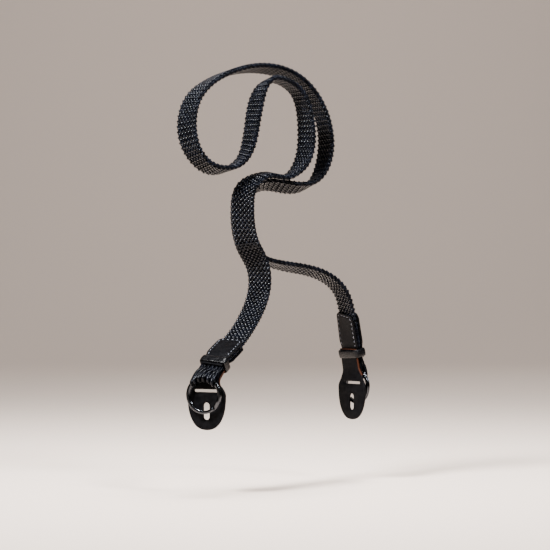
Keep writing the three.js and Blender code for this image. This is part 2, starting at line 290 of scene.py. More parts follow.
class Route:
    """A natural cubic spline through rows of x, y, z and turn, read by true length in millimetres.

    The direction at a place is taken between two points, each reach away from it.
    """

    reach = 0.5

    def __init__(self, rows: tuple[Row, ...], per_row: int = 60) -> None:
        """Samples the spline.

        Args:
            rows: The table's rows.
            per_row: Samples between two rows.
        """
        table = np.array([(r.x, r.y, r.z, r.turn) for r in rows])
        spans = np.linalg.norm(np.diff(table[:, :3], axis=0), axis=1)
        bends = self._second_derivatives(table, spans)
        t = np.linspace(0, 1, per_row, endpoint=False)[:, None]
        u = 1 - t
        pieces = [
            u * table[i] + t * table[i + 1]
            + spans[i] ** 2 * ((u**3 - u) * bends[i] + (t**3 - t) * bends[i + 1]) / 6
            for i in range(len(rows) - 1)
        ]
        self._samples = np.vstack([*pieces, table[-1:]])
        self._lengths = run_length(self._samples[:, :3])
        self.length = float(self._lengths[-1])

    @staticmethod
    def _second_derivatives(table: Array, spans: Array) -> Array:
        """Solves the spline's bends.

        Args:
            table: Rows of values.
            spans: Straight distances between the rows.

        Returns:
            The second derivative at each row, zero at both ends: 2(h0 + h1) of the row's own bend plus
            h0 and h1 of its neighbours' equals six times the change of slope.
        """
        inner = np.diag(2 * (spans[:-1] + spans[1:])) + np.diag(spans[1:-1], 1) + np.diag(spans[1:-1], -1)
        slopes = np.diff(table, axis=0) / spans[:, None]
        bends = np.zeros_like(table)
        bends[1:-1] = np.linalg.solve(inner, 6 * np.diff(slopes, axis=0))
        return bends

    def _at(self, distance: Array) -> Array:
        """Rows of x, y, z and turn at distances from the left ring."""
        return read(self._samples, self._lengths, distance)

    def frames(self, distance: Array) -> Frames:
        """Places and directions.

        Args:
            distance: Distances from the left ring; beyond an end the line runs on straight.

        Returns:
            Frames whose across is the level direction square to the line, turned about the line.
        """
        inside = np.clip(distance, 0, self.length)
        here = self._at(inside)
        ahead = self._at(np.minimum(inside + self.reach, self.length))[:, :3]
        behind = self._at(np.maximum(inside - self.reach, 0))[:, :3]
        along = unit(ahead - behind)
        level = unit(np.cross(along, VIEW))
        facing = np.cross(along, level)
        turn = np.radians(here[:, 3])[:, None]
        across = level * np.cos(turn) + facing * np.sin(turn)
        origin = here[:, :3] + along * (distance - inside)[:, None]
        return Frames(origin, along, across, np.cross(along, across))


ROUTE = Route(ROUTE_ROWS)


@dataclass(frozen=True)
class Anchor:
    """One end of the strap: its ring's lowest point and facing, and how far up the keeper sits."""

    end: End
    x: float
    y: float
    facing: float
    keeper_at: float

    @property
    def name(self) -> str:
        """The end's word in piece names."""
        return self.end.value

    @cached_property
    def ring_across(self) -> Array:
        """The level direction across the ring."""
        angle = math.radians(self.facing)
        across = np.array([math.cos(angle), -math.sin(angle), 0.0])
        return across if self.end is End.LEFT else -across

    @cached_property
    def inward(self) -> Array:
        """The level direction from the ring to the carried body."""
        return np.cross(UP, self.ring_across)

    @property
    def origin(self) -> Array:
        """The ring's lowest point."""
        return np.array([self.x, self.y, 0.0])

    def frames(self, distance: Array) -> Frames:
        """The route's frames counted from this ring.

        Args:
            distance: Distances from the top of this ring's wire.

        Returns:
            Frames whose along points away from the ring.
        """
        distance = np.asarray(distance, float)
        if self.end is End.LEFT:
            return ROUTE.frames(distance)
        far = ROUTE.frames(ROUTE.length - distance)
        return Frames(far.origin, -far.along, -far.across, far.out)

    def fold_frames(self, distance: Array) -> Frames:
        """Frames for the fold: square to the ring's wire at its top, the route's own further up.

        Args:
            distance: Distances from the top of this ring's wire.

        Returns:
            The blended frames.
        """
        own = self.frames(distance)
        free = smooth(0, NECK.square_for, distance)[:, None]
        wide = unit(-self.ring_across * (1 - free) + own.across * free)
        along = unit(own.along - wide * np.sum(own.along * wide, axis=1, keepdims=True))
        return Frames(own.origin, along, wide, np.cross(along, wide))

    def braid_half_thickness(self, distance: Array) -> Array:
        """Half of the braid's thickness: folded thin under the keeper, then sewn, then free."""
        sewn = mix(BRAID.folded, BRAID.sewn, smooth(*BRAID.swells, distance - self.keeper_at))
        return mix(sewn, BRAID.thickness, smooth(*BRAID.opens, distance - LEATHER.end)) / 2

    def braid_half_width(self, distance: Array) -> Array:
        """Half of the braid's width at distances from this ring, narrower at the waist."""
        return mix(BRAID.waist, BRAID.width, smooth(*BRAID.widens, distance - self.keeper_at)) / 2

    def leather_half_width(self, distance: Array) -> Array:
        """Half of the tab's width: a waist, a straight body and round corners at the end.

        Args:
            distance: Distances from this ring.

        Returns:
            Half widths in millimetres.
        """
        flared = mix(BRAID.waist / 2, LEATHER.half_width, smooth(*LEATHER.flares, distance - self.keeper_at))
        into = np.maximum(0, distance - (LEATHER.end - LEATHER.corner)) / LEATHER.corner
        return flared - LEATHER.corner * (1 - np.sqrt(np.maximum(0, 1 - into**2)))


LEFT = Anchor(End.LEFT, 0.0, 0.0, 24.0, 12.0)
RIGHT = Anchor(End.RIGHT, 86.0, 91.0, 50.0, 10.4)


# Materials


def linear(code: str) -> tuple[float, float, float, float]:
    """Turns an sRGB hex colour into a linear one.

    Args:
        code: A colour such as "#1b1e22".

    Returns:
        Linear red, green and blue with alpha 1.
    """
    parts = [int(code[i:i + 2], 16) / 255 for i in (1, 3, 5)]
    red, green, blue = (p / 12.92 if p <= 0.04045 else ((p + 0.055) / 1.055) ** 2.4 for p in parts)
    return red, green, blue, 1.0


def add_node(
    tree: bpy.types.NodeTree,
    kind: str,
    settings: dict[str, object] | None = None,
    **options: object,
) -> bpy.types.Node:
    """Adds a node with its settings and links.

    Args:
        tree: The tree it goes into.
        kind: The node's type name.
        settings: Socket names with a value, or with a socket or a node's first output to link from.
        **options: Properties of the node itself.

    Returns:
        The new node.
    """
    node = tree.nodes.new(kind)
    for name, value in options.items():
        setattr(node, name, value)
    for name, value in (settings or {}).items():
        socket = node.inputs[name]
        if isinstance(value, bpy.types.Node):
            value = next(output for output in value.outputs if output.enabled)
        if isinstance(value, bpy.types.NodeSocket):
            tree.links.new(value, socket)
        else:
            socket.default_value = value
    return node


@dataclass(frozen=True)
class Finish:
    """A material named for the real one: a single Principled shader."""

    name: str

    def sockets(self, tree: bpy.types.NodeTree) -> dict[str, object]:
        """The shader's inputs by name, each a value or something that add_node can link."""
        raise NotImplementedError

    def build(self) -> bpy.types.Material:
        """Makes the material.

        Returns:
            The material, whose tree holds only the nodes that it needs.
        """
        material = bpy.data.materials.new(self.name)
        material.use_nodes = True
        tree = material.node_tree
        tree.nodes.clear()
        shader = add_node(tree, "ShaderNodeBsdfPrincipled", self.sockets(tree))
        add_node(tree, "ShaderNodeOutputMaterial", {"Surface": shader})
        return material


@dataclass(frozen=True)
class YarnFinish(Finish):
    """Dyed polyester yarn, twisted and braided; its UV runs in millimetres along and 0 to 1 round it.

    To the eye it is nearly black, with a bluish gleam only on the crowns of the strands. The real
    filaments are far too fine to show, so a few coarse ridges stand for them.
    """

    name: str = "black braided polyester yarn"
    dark: str = "#020203"
    light: str = "#0a0c13"
    gleam: str = "#cfd8ee"
    roughness: float = 0.3
    gloss: float = 0.05
    crown_gloss: float = 0.6
    crown_roughness: float = 0.3
    narrowness: float = 4.0
    ridges: float = 5.0
    ridge_height: float = 0.4
    twist_mm: float = 9.0
    fuzz_per_m: float = 2600.0
    relief: float = 0.00001

    def sockets(self, tree: bpy.types.NodeTree) -> dict[str, object]:
        """Ridges sin(2 pi n (x / twist + y)) with fuzz, and a gleam |sin(2 pi y)|^k times the rise."""
        uv = add_node(tree, "ShaderNodeUVMap", uv_map="strand")
        along, around, _ = add_node(tree, "ShaderNodeSeparateXYZ", {"Vector": uv}).outputs
        place = add_node(tree, "ShaderNodeTexCoord").outputs["Object"]
        fuzz = add_node(
            tree, "ShaderNodeTexNoise", {"Vector": place, "Scale": self.fuzz_per_m, "Detail": 2.0}
        )
        rise = add_node(tree, "ShaderNodeAttribute", attribute_name="rise").outputs["Fac"]
        chains = (
            (along, ("MULTIPLY_ADD", 1 / self.twist_mm, around), ("MULTIPLY", math.tau * self.ridges),
             ("SINE",), ("MULTIPLY_ADD", self.ridge_height, fuzz)),
            (around, ("MULTIPLY", math.tau), ("SINE",), ("ABSOLUTE",), ("POWER", self.narrowness),
             ("MULTIPLY", rise), ("MULTIPLY", self.crown_gloss)),
        )
        results = []
        for value, *steps in chains:
            for operation, *others in steps:
                inputs = dict(enumerate([value, *others]))
                value = add_node(tree, "ShaderNodeMath", inputs, operation=operation)
            results.append(value)
        height, crown = results
        tone = add_node(tree, "ShaderNodeAttribute", attribute_name="tone").outputs["Fac"]
        return {
            "Base Color": add_node(
                tree, "ShaderNodeMix", {"Factor": tone, "A": linear(self.dark), "B": linear(self.light)},
                data_type="RGBA",
            ),
            "Roughness": self.roughness,
            "Specular IOR Level": self.gloss,
            "Coat Weight": crown,
            "Coat Roughness": self.crown_roughness,
            "Specular Tint": linear(self.gleam),
            "Normal": add_node(
                tree, "ShaderNodeBump", {"Height": height, "Distance": self.relief, "Strength": 0.8}
            ),
        }


@dataclass(frozen=True)
class LeatherFinish(Finish):
    """Vegetable-tanned calf, dyed black and pressed with a fine pebble grain.

    To the eye it is a soft black with broken highlights, and a raw brown cut edge where the attribute
    "raw" is 1.
    """

    name: str = "black grained calf leather"
    dark: str = "#030304"
    worn: str = "#0b0b0d"
    raw: str = "#2c170e"
    roughness: float = 0.36
    gloss: float = 0.03
    grain_mm: float = 0.55
    creases_per_m: float = 420.0
    cell_gain: float = 3.0
    crease_gain: float = 1.6
    wears: tuple[float, float] = (0.35, 0.75)
    dulls: tuple[float, float] = (-0.06, 0.12)
    relief: float = 0.00007

    def sockets(self, tree: bpy.types.NodeTree) -> dict[str, object]:
        """A cell grain with faint creases, which also lighten the colour and dull the shine."""
        place = add_node(tree, "ShaderNodeTexCoord").outputs["Object"]
        grain = add_node(
            tree, "ShaderNodeTexVoronoi",
            {"Vector": place, "Scale": 1 / (self.grain_mm * MM), "Randomness": 0.9},
            feature="DISTANCE_TO_EDGE",
        )
        cells = add_node(
            tree, "ShaderNodeMath", {0: grain, 1: self.cell_gain}, operation="MULTIPLY", use_clamp=True
        )
        creases = add_node(
            tree, "ShaderNodeTexNoise",
            {"Vector": place, "Scale": self.creases_per_m, "Detail": 4.0, "Roughness": 0.6},
        )
        height = add_node(
            tree, "ShaderNodeMath", {0: creases, 1: self.crease_gain, 2: cells}, operation="MULTIPLY_ADD"
        )
        low, high = self.wears
        wear = add_node(tree, "ShaderNodeMapRange", {"Value": creases, "From Min": low, "From Max": high})
        colour = linear(self.dark)
        raw = add_node(tree, "ShaderNodeAttribute", attribute_name="raw").outputs["Fac"]
        for share, other in ((wear, self.worn), (raw, self.raw)):
            colour = add_node(
                tree, "ShaderNodeMix", {"Factor": share, "A": colour, "B": linear(other)}, data_type="RGBA"
            )
        return {
            "Base Color": colour,
            "Roughness": add_node(tree, "ShaderNodeMapRange", {
                "Value": creases, "From Min": 0.3, "From Max": 0.7,
                "To Min": self.roughness + self.dulls[0], "To Max": self.roughness + self.dulls[1],
            }),
            "Specular IOR Level": self.gloss,
            "Normal": add_node(
                tree, "ShaderNodeBump", {"Height": height, "Distance": self.relief, "Strength": 0.5}
            ),
        }


@dataclass(frozen=True)
class ThreadFinish(Finish):
    """Waxed sewing thread: twisted and drawn through wax, so it is a dull grey with a faint sheen."""

    name: str = "waxed grey sewing thread"
    colour: str = "#4c4e56"
    roughness: float = 0.4
    twists_per_m: float = 3500.0
    relief: float = 0.00003

    def sockets(self, tree: bpy.types.NodeTree) -> dict[str, object]:
        """One colour, and a fine noise in its relief."""
        place = add_node(tree, "ShaderNodeTexCoord").outputs["Object"]
        twist = add_node(tree, "ShaderNodeTexNoise", {"Vector": place, "Scale": self.twists_per_m})
        bump = add_node(tree, "ShaderNodeBump", {"Height": twist, "Distance": self.relief, "Strength": 0.6})
        return {"Base Color": linear(self.colour), "Roughness": self.roughness, "Normal": bump}


@dataclass(frozen=True)
class MetalFinish(Finish):
    """Steel wire with a dark nickel plate, tumbled to a polish: sharp grey glints on near black."""

    name: str = "dark polished nickel"
    colour: str = "#3e4044"
    roughness: float = 0.14
    wear_per_m: float = 900.0

    def sockets(self, tree: bpy.types.NodeTree) -> dict[str, object]:
        """A metal with faint wear in its gloss."""
        place = add_node(tree, "ShaderNodeTexCoord").outputs["Object"]
        wear = add_node(
            tree, "ShaderNodeTexNoise", {"Vector": place, "Scale": self.wear_per_m, "Detail": 3.0}
        )
        gloss = add_node(tree, "ShaderNodeMapRange", {
            "Value": wear, "To Min": self.roughness - 0.06, "To Max": self.roughness + 0.1,
        })
        return {"Base Color": linear(self.colour), "Metallic": 1.0, "Roughness": gloss}


@dataclass(frozen=True)
class BackdropFinish(Finish):
    """Matt backdrop paper: an even pale tone with no gloss to see."""

    name: str = "pale backdrop paper"
    colour: str = "#c9b9ad"

    def sockets(self, tree: bpy.types.NodeTree) -> dict[str, object]:
        """One colour."""
        return {"Base Color": linear(self.colour), "Roughness": 0.9}


@dataclass(frozen=True)
class Finishes:
    """Every material of the scene, made once."""

    yarn: bpy.types.Material = field(default_factory=YarnFinish().build)
    leather: bpy.types.Material = field(default_factory=LeatherFinish().build)
    polished: bpy.types.Material = field(
        default_factory=LeatherFinish(name="polished black leather", gloss=0.14, roughness=0.22).build
    )
    thread: bpy.types.Material = field(default_factory=ThreadFinish().build)
    metal: bpy.types.Material = field(default_factory=MetalFinish().build)
    backdrop: bpy.types.Material = field(default_factory=BackdropFinish().build)


# Meshes


def linked(name: str, data: bpy.types.ID) -> bpy.types.Object:
    """Makes an object of the data, at the origin, and puts it into the scene.

    Args:
        name: The object's name.
        data: Its mesh, curve, light or camera.

    Returns:
        The object.
    """
    made = bpy.data.objects.new(name, data)
    bpy.context.scene.collection.objects.link(made)
    return made


def new_piece(
    name: str,
    vertices: Array,
    faces: list[Array],
    material: bpy.types.Material,
    attributes: dict[str, Array] | None = None,
    uv: Array | None = None,
) -> bpy.types.Object:
    """Makes a mesh object from arrays, in metres, with its faces outwards.

    Args:
        name: The piece's name.
        vertices: Points in millimetres, shape (points, 3).
        faces: Arrays of vertex numbers, each of shape (faces, corners).
        material: Its finish.
        attributes: One number for each point, by attribute name.
        uv: One pair for each face corner, in the order of the faces.

    Returns:
        The object, at the origin and unturned.
    """
    vertices = vertices * MM
    volume = sum(
        float(np.sum(vertices[f[:, 0]] * np.cross(vertices[f[:, i]], vertices[f[:, i + 1]])))
        for f in faces
        for i in range(1, f.shape[1] - 1)
    )
    if volume < 0:
        faces = [f[:, ::-1] for f in faces]
        if uv is not None:
            starts = np.cumsum([0] + [f.size for f in faces])
            uv = np.concatenate([
                uv[a:b].reshape(*f.shape, 2)[:, ::-1].reshape(-1, 2)
                for f, a, b in zip(faces, starts, starts[1:])
            ])
    loops = np.concatenate([f.ravel() for f in faces]).astype(np.int32)
    sizes = np.concatenate([np.full(len(f), f.shape[1]) for f in faces])
    mesh = bpy.data.meshes.new(name)
    mesh.vertices.add(len(vertices))
    mesh.vertices.foreach_set("co", vertices.ravel())
    mesh.loops.add(len(loops))
    mesh.loops.foreach_set("vertex_index", loops)
    mesh.polygons.add(len(sizes))
    mesh.polygons.foreach_set("loop_start", np.concatenate([[0], np.cumsum(sizes)[:-1]]).astype(np.int32))
    mesh.update(calc_edges=True)
    mesh.polygons.foreach_set("use_smooth", np.ones(len(sizes), bool))
    if uv is not None:
        layer = mesh.uv_layers.new(name="strand")
        layer.data.foreach_set("uv", uv.astype(np.float32).ravel())
    for key, values in (attributes or {}).items():
        layer = mesh.attributes.new(key, "FLOAT", "POINT")
        layer.data.foreach_set("value", np.asarray(values, np.float32).ravel())
    mesh.materials.append(material)
    return linked(name, mesh)


def finished(piece: bpy.types.Object, slot: str, *nodes: str, sharp: float | None = None) -> None:
    """Hands a piece to the frame.

    Args:
        piece: The piece.
        slot: The record's material slot; not used.
        *nodes: The frame's nodes that it stands for.
        sharp: The angle in degrees above which an edge stays sharp, if any.
    """
    if sharp is not None:
        with bpy.context.temp_override(object=piece, active_object=piece, selected_objects=[piece]):
            piece.data.set_sharp_from_angle(angle=math.radians(sharp))
    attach(piece, "root")
    if nodes:
        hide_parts(*nodes)
    LOG.info("%s: %d faces", piece.name, len(piece.data.polygons))


def tube_faces(stations: int, corners: int, closed: bool = False) -> list[Array]:
    """Faces of one tube whose points run round each station in turn.

    Args:
        stations: Number of stations along the tube.
        corners: Points round a station.
        closed: True if the last station joins the first.

    Returns:
        The side faces, and the two caps of an open tube.
    """
    i = np.arange(stations if closed else stations - 1)[:, None]
    j = np.arange(corners)[None, :]
    ahead, beside = (i + 1) % stations, (j + 1) % corners
    here, there = i * corners, ahead * corners
    sides = np.stack([here + j, here + beside, there + beside, there + j], -1).reshape(-1, 4)
    if closed:
        return [sides]
    caps = np.stack([np.arange(corners)[::-1], (stations - 1) * corners + np.arange(corners)])
    return [sides, caps]


def swept_piece(
    name: str, rings: Array, material: bpy.types.Material, closed: bool = False
) -> bpy.types.Object:
    """Makes a piece from closed sections, shape (stations, corners, 3), in millimetres."""
    stations, corners = rings.shape[:2]
    return new_piece(name, rings.reshape(-1, 3), tube_faces(stations, corners, closed), material)


@dataclass(frozen=True)
class Yarn:
    """A strand's section: an ellipse with a groove along each face, which makes it look like a pair.

    Sizes are half of the ellipse's in millimetres; groove is the share of the height that is cut away
    in the middle.
    """

    half_width: float
    half_height: float
    groove: float = 0.0
    groove_width: float = 0.35
    corners: int = 6

    @cached_property
    def outline(self) -> Array:
        """Its points: rows of wide and high."""
        angle = np.arange(self.corners) * math.tau / self.corners
        cut = 1 - self.groove * np.exp(-((np.cos(angle) / self.groove_width) ** 2))
        return np.stack([self.half_width * np.cos(angle), self.half_height * np.sin(angle) * cut], -1)


def yarn_piece(
    name: str,
    lines: Array,
    facing: Array,
    yarn: Yarn,
    material: bpy.types.Material,
    tones: Array,
    rise: Array | None = None,
) -> bpy.types.Object:
    """Makes many strands as one mesh.

    Args:
        name: The piece's name.
        lines: Middle lines, shape (strands, points, 3), in millimetres.
        facing: The direction out of the cloth at each point, of the same shape.
        yarn: The strands' section.
        material: Their finish.
        tones: One shade from 0 to 1 for each strand.
        rise: How far each point lies on a face of the cloth, 0 to 1; all 1 where it isn't given.

    Returns:
        The object. Each section is square to its strand, and its wide axis lies in the cloth.
    """
    strands, points = lines.shape[:2]
    along = unit(np.gradient(lines, axis=1))
    wide = unit(np.cross(along, facing))
    high = np.cross(wide, along)
    ring = lines[:, :, None] + wide[:, :, None] * yarn.outline[:, :1] + high[:, :, None] * yarn.outline[:, 1:]
    single = tube_faces(points, yarn.corners)
    shift = (np.arange(strands) * points * yarn.corners)[:, None, None]
    faces = [(f[None] + shift).reshape(-1, f.shape[1]) for f in single]
    lengths = np.concatenate(
        [np.zeros((strands, 1)), np.cumsum(np.linalg.norm(np.diff(lines, axis=1), axis=2), axis=1)], axis=1
    )
    ahead = np.stack([lengths[:, :-1], lengths[:, :-1], lengths[:, 1:], lengths[:, 1:]], -1)
    u = np.broadcast_to(ahead[:, :, None, :], (strands, points - 1, yarn.corners, 4))
    step = np.arange(yarn.corners)[:, None] + np.array([0, 1, 1, 0])
    v = np.broadcast_to(step / yarn.corners, u.shape)
    sides_uv = np.stack([u, v], -1).reshape(-1, 2)
    caps_uv = np.zeros((strands * 2 * yarn.corners, 2))
    shades = {
        "tone": np.repeat(tones, points * yarn.corners),
        "rise": np.repeat(np.ones((strands, points)) if rise is None else rise, yarn.corners),
    }
    return new_piece(name, ring.reshape(-1, 3), faces, material, shades, np.vstack([sides_uv, caps_uv]))


# The braid

Placement = Callable[[Array, Array, Array], Array]


@dataclass(frozen=True)
class BraidPattern:
    """A flat braid of an odd number of strands, each passing over one and under one.

    Every strand runs from edge to edge in traverse millimetres and back, so two strands cross at each
    multiple of traverse / strands. All strands on their way out are raised at one crossing and lowered
    at the next, and those on their way back do the opposite: the face shows a row of strokes leaning
    one way, then a row leaning the other.
    """

    strands: int = 13
    traverse: float = 18.4
    half_width: float = 0.7
    half_height: float = 0.5
    step: float = 0.28
    nominal: float = BRAID.thickness / 2
    squareness: float = 0.8
    rounding: float = 0.93

    @property
    def crossing(self) -> float:
        """Distance along the braid from one crossing of a strand to its next."""
        return self.traverse / self.strands

    def wave(self, distance: Array, column: Array) -> Array:
        """Height of a strand on its way out, from -1 to 1.

        Args:
            distance: Distances along the braid.
            column: How many crossings from the near edge the strand is, 0 to the number of strands.

        Returns:
            A rounded square wave, two crossings long, that falls to 0 at both edges.
        """
        swell = np.cos(np.pi * distance / self.crossing)
        square = np.tanh(self.squareness * swell) / math.tanh(self.squareness)
        return square * np.clip(column, 0, 1) * np.clip(self.strands - column, 0, 1)

    def lines(
        self, distance: Array, half_width: Array, half_height: Array, place: Placement
    ) -> tuple[Array, Array, Array]:
        """Middle lines of all strands.

        Args:
            distance: Distances along the braid.
            half_width: Half of the braid's width at each distance.
            half_height: Half of its thickness at each distance.
            place: Turns distance, wide and high into points.

        Returns:
            The lines, the direction out of the braid at each of their points, and how far each point
            lies on a face: 1 on the front or back, 0 on its way between them.
        """
        share = (distance / (2 * self.traverse) + np.arange(self.strands)[:, None] / self.strands) % 1
        zigzag = 1 - 4 * np.abs(share - 0.5)
        swing = np.arcsin(self.rounding * np.sin(zigzag * np.pi / 2)) / math.asin(self.rounding)
        wide = swing * (half_width - self.half_width)
        side = np.where(share < 0.5, 1.0, -1.0)
        press = half_height / self.nominal
        lift = (self.nominal - self.half_height) * press
        wave = self.wave(distance, self.strands * (zigzag + 1) / 2)
        high = side * wave * lift
        spread = np.broadcast_to(distance, wide.shape)
        points = place(spread, wide, high)
        return points, unit(place(spread, wide, high + PROBE) - points), np.abs(wave)


def strap_place(distance: Array, wide: Array, high: Array) -> Array:
    """Points of the strap at distances, the same for each row, wide across and high out."""
    return ROUTE.frames(distance[0]).at(wide, high)


@dataclass
class BraidedStrap:
    """The long braid between the two keepers, in runs that meet end to end."""

    finishes: Finishes
    pattern: BraidPattern = BraidPattern()
    meets: tuple[float, ...] = (103.0, 300.0, 563.0)
    names: tuple[str, ...] = ("rising_braid", "inner_coil_braid", "outer_coil_braid", "falling_braid")
    core: Yarn = Yarn(0.95, 0.5)
    core_yarns: int = 8
    core_half_width: float = 6.3
    core_rise: float = 0.2
    seed: int = 7

    def build(self) -> None:
        """Makes the runs and the seam across the braid."""
        start = LEFT.keeper_at + NECK.above_keeper + GAP
        finish = ROUTE.length - RIGHT.keeper_at - NECK.above_keeper - GAP
        edges = (start, *self.meets, finish)
        tones = np.random.default_rng(self.seed).uniform(0.0, 1.0, self.pattern.strands)
        yarn = Yarn(self.pattern.half_width, self.pattern.half_height, groove=0.3, corners=8)
        for name, low, high in zip(self.names, edges, edges[1:]):
            distance = np.linspace(low, high, int((high - low) / self.pattern.step) + 1)
            lines, facing, rise = self.pattern.lines(
                distance, self.half_width(distance), self.half_thickness(distance), strap_place
            )
            piece = yarn_piece(name, lines, facing, yarn, self.finishes.yarn, tones, rise)
            finished(piece, "braid", "braided_strap")
        self.core_piece()
        self.seam(self.meets[0])

    def core_piece(self) -> None:
        """Straight yarns that lie inside the braid from one tab to the other and fill it out."""
        distance = np.arange(LEATHER.end - 3, ROUTE.length - LEATHER.end + 3, 1.0)
        columns = np.linspace(-self.core_half_width, self.core_half_width, self.core_yarns)
        wide = columns[:, None] * np.ones_like(distance)
        spread = np.broadcast_to(distance, wide.shape)
        lines = strap_place(spread, wide, np.zeros_like(wide))
        facing = unit(strap_place(spread, wide, np.full_like(wide, PROBE)) - lines)
        piece = yarn_piece("braid_core", lines, facing, self.core, self.finishes.yarn,
                           np.zeros(self.core_yarns), np.full(wide.shape, self.core_rise))
        finished(piece, "braid", "braided_strap")

    @staticmethod
    def half_width(distance: Array) -> Array:
        """Half of the width at distances from the left ring."""
        return np.minimum(LEFT.braid_half_width(distance), RIGHT.braid_half_width(ROUTE.length - distance))

    @staticmethod
    def half_thickness(distance: Array) -> Array:
        """Half of the thickness at distances from the left ring."""
        from_right = ROUTE.length - distance
        return np.minimum(LEFT.braid_half_thickness(distance), RIGHT.braid_half_thickness(from_right))

    def seam(self, at: float, apart: float = 1.5, count: int = 9, points: int = 5) -> None:
        """Three rows of black stitches across the braid.

        Args:
            at: Where the seam lies, from the left ring.
            apart: Distance between its rows.
            count: Stitches in a row.
            points: Points along a stitch.
        """
        inset, space, arch = 0.7, 0.1, 0.2
        half = BRAID.width / 2 - inset
        marks = np.linspace(-half, half, count + 1)
        runs = []
        for row in (-1, 0, 1):
            frames = ROUTE.frames(np.array([at + row * apart]))
            for a, b in zip(marks, marks[1:]):
                wide = np.linspace(a + space, b - space, points)
                high = BRAID.thickness / 2 + arch * np.sin(np.linspace(0, np.pi, points))
                line = frames.at(wide[:, None], high[:, None])[:, 0]
                runs.append((line, np.repeat(frames.out, points, axis=0)))
        lines, facing = (np.array([r[i] for r in runs]) for i in (0, 1))
        piece = yarn_piece("seam_stitches", lines, facing, Yarn(0.26, 0.2), self.finishes.yarn,
                           np.zeros(len(lines)))
        finished(piece, "braid")


# The ends


@dataclass
class Neck:
    """The braid's end folded round the ring's wire, its legs pressed together under the keeper."""

    anchor: Anchor
    finishes: Finishes
    pattern: BraidPattern = BraidPattern(
        strands=11, traverse=60.0, half_width=0.95, half_height=0.42, step=0.35, nominal=NECK.wall / 2
    )
    lean: tuple[float, float] = (0.3, 4.2)
    lean_to: float = 3.4
    arc_steps: int = 24
    sinks: tuple[float, float] = (-1.0, 6.0)
    narrows: tuple[float, float] = (1.0, 6.0)
    thins_from: float = 1.5
    slack: float = 0.05
    gleam: float = 0.35
    # painted shade: the fold's strands take only the darker share of the yarn's tones, though they are the
    # braid's own yarn
    shades: tuple[float, float] = (0.0, 0.4)
    seed: int = 11
    reach: float = 0.2

    @cached_property
    def profile(self) -> tuple[Array, Array]:
        """The fold's middle line seen from the side: rows of out and up, and the length to each."""
        top = self.anchor.keeper_at + NECK.above_keeper
        fold = RING.wire + GAP + NECK.wall / 2
        leg = BRAID.folded / 4
        (out, lean_from), lean_to = self.lean, self.lean_to
        corners = np.array([(leg, NECK.leg_from), (leg + out, lean_from), (fold, lean_to), (fold, 0.0)])
        shoulder = bezier(corners, self.arc_steps)
        turn = np.linspace(0, np.pi / 2, 16)[1:]
        hook = np.stack([fold * np.cos(turn), -fold * np.sin(turn)], -1)
        front = np.vstack([[(leg, top)], shoulder, hook])
        back = front[::-1][1:] * (-1, 1)
        line = np.vstack([front, back])
        return line, run_length(line)

    def place(self, distance: Array, wide: Array, high: Array) -> Array:
        """Points of the fold.

        Args:
            distance: Distances along the fold, the same for each row.
            wide: Distances across.
            high: Distances out of the fold's face.

        Returns:
            Points in millimetres. The fold sinks at its sides by as much as the ring's curve does.
        """
        line, length = self.profile
        s = distance[0]
        side = read(line, length, s)
        tangent = unit(read(line, length, s + self.reach) - read(line, length, s - self.reach))
        out = side[:, 0] - tangent[:, 1] * high
        up = side[:, 1] + tangent[:, 0] * high
        points = np.empty((*wide.shape, 3))
        for i in range(len(wide)):
            frames = self.anchor.fold_frames(up[i])
            points[i] = frames.origin + wide[i][:, None] * frames.across + out[i][:, None] * frames.out
        drop = (RING.mean - np.sqrt(RING.mean**2 - wide**2)) * (1 - smooth(*self.sinks, up))
        return points - UP * drop[..., None]

    def build(self) -> None:
        """Makes the folded braid."""
        line, length = self.profile
        distance = np.arange(0, length[-1], self.pattern.step)
        height = np.interp(distance, length, line[:, 1])
        half_width = mix(NECK.width, BRAID.waist, smooth(*self.narrows, height)) / 2
        thin = smooth(self.thins_from, NECK.leg_from, height)
        half_height = mix(NECK.wall / 2, BRAID.folded / 4 + self.slack, thin)
        lines, facing, rise = self.pattern.lines(distance, half_width, half_height, self.place)
        yarn = Yarn(self.pattern.half_width, self.pattern.half_height)
        # painted shade: the fold gets darker tones than the braid
        tones = np.random.default_rng(self.seed).uniform(*self.shades, self.pattern.strands)
        piece = yarn_piece(f"{self.anchor.name}_folded_braid", lines, facing, yarn, self.finishes.yarn, tones,
                           rise * self.gleam)
        finished(piece, "braid", f"{self.anchor.name}_neck")


